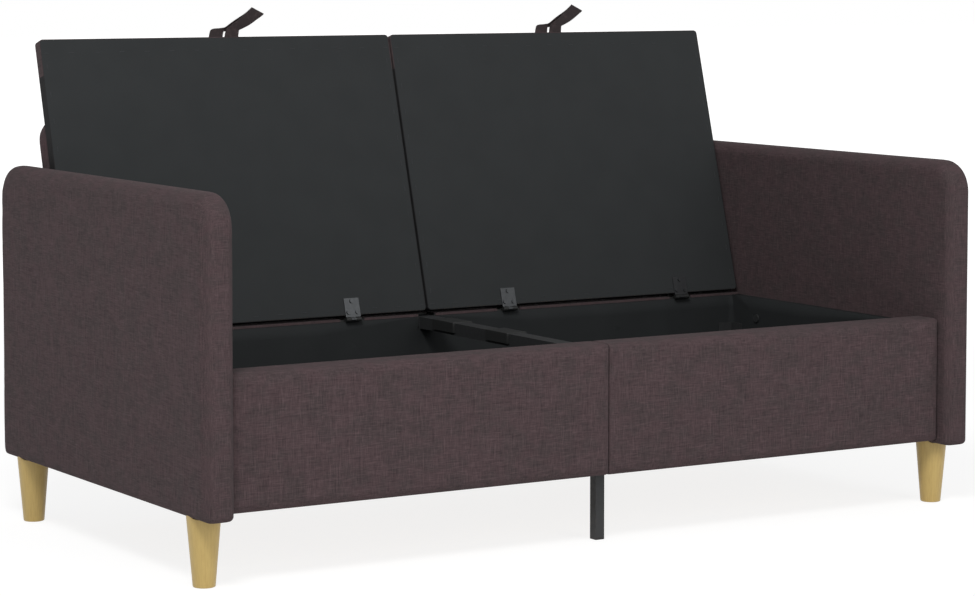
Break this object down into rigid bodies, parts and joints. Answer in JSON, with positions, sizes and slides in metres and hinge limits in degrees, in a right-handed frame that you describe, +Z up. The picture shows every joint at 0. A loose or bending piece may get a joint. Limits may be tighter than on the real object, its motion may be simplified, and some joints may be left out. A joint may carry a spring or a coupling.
{
  "type": "storage sofa",
  "caption": "Fabric storage sofa frame with slab arms and lift-up seat lids hinged at the back, shown open over the box, on tapered wood legs.",
  "frame": {"origin": "floor centre: midway between the outer faces of the arms and between their front and back edges", "axes": "+X across the sofa to the right as seen from the front, +Y from the front to the back, +Z up"},
  "size_m": [1.4, 0.75, 0.8209],
  "materials": {
    "cover_fabric": "woven, dark warm brown",
    "foam": "upholstery foam and wadding",
    "lining_cloth": "non-woven, charcoal",
    "deck_cloth": "non-woven, near black",
    "leg_wood": "clear satin, light timber",
    "board_wood": "raw plywood and softwood",
    "hinge_steel": "zinc plated, dull dark grey",
    "fixing_steel": "zinc plated",
    "dark_steel": "powder coated, near black",
    "dark_plastic": "moulded, near black",
    "strap_leather": "imitation leather, dark brown"
  },
  "bodies": {
    "root": {"frame_bolts": "dark_steel", "leg_front_left": "leg_wood", "leg_rear_left": "leg_wood", "leg_front_right": "leg_wood", "leg_rear_right": "leg_wood", "leg_bolts": "fixing_steel", "leg_inserts": "fixing_steel", "arm_cover_left": "cover_fabric", "arm_pad_left": "foam", "arm_board_left": "board_wood", "arm_cover_right": "cover_fabric", "arm_pad_right": "foam", "arm_board_right": "board_wood", "frame_screws": "fixing_steel", "rail_joiner": "board_wood", "rail_cover_left": "cover_fabric", "rail_pad_left": "foam", "rail_board_left": "board_wood", "rail_cover_right": "cover_fabric", "rail_pad_right": "foam", "rail_board_right": "board_wood", "hinge_screws_rail": "hinge_steel", "rear_cover": "cover_fabric", "rear_board": "board_wood", "back_cover": "cover_fabric", "back_pad": "foam", "back_board": "board_wood", "back_brackets": "dark_steel", "side_panel_left": "board_wood", "floor_panel_left": "board_wood", "side_panel_right": "board_wood", "floor_panel_right": "board_wood", "floor_cleats": "board_wood", "front_bearers": "board_wood", "storage_lining": "lining_cloth", "corner_brackets": "dark_steel", "centre_beam": "dark_steel", "beam_hangers": "dark_steel", "beam_saddle_rear": "dark_plastic", "beam_saddle_front": "dark_plastic", "centre_leg": "dark_steel", "centre_leg_foot": "dark_plastic", "hinge_rail_leaves": "hinge_steel", "hinge_pins": "hinge_steel"},
    "seat_left": {"seat_board_left": "board_wood", "seat_pad_left": "foam", "seat_cover_left": "cover_fabric", "seat_deck_left": "deck_cloth", "seat_lining_left": "lining_cloth", "pull_strap_left": "strap_leather", "hinge_lid_leaves_left": "hinge_steel", "hinge_screws_left": "hinge_steel"},
    "seat_right": {"seat_board_right": "board_wood", "seat_pad_right": "foam", "seat_cover_right": "cover_fabric", "seat_deck_right": "deck_cloth", "seat_lining_right": "lining_cloth", "pull_strap_right": "strap_leather", "hinge_lid_leaves_right": "hinge_steel", "hinge_screws_right": "hinge_steel"}
  },
  "joints": [
    {"name": "seat_left_hinge", "type": "hinge", "parent": "root", "child": "seat_left", "pos_m": [-0.324, 0.1995, 0.3041], "axis": [1, 0, 0], "range_deg": [0, 106]},
    {"name": "seat_right_hinge", "type": "hinge", "parent": "root", "child": "seat_right", "pos_m": [0.343, 0.1995, 0.3041], "axis": [1, 0, 0], "range_deg": [0, 106]}
  ]
}
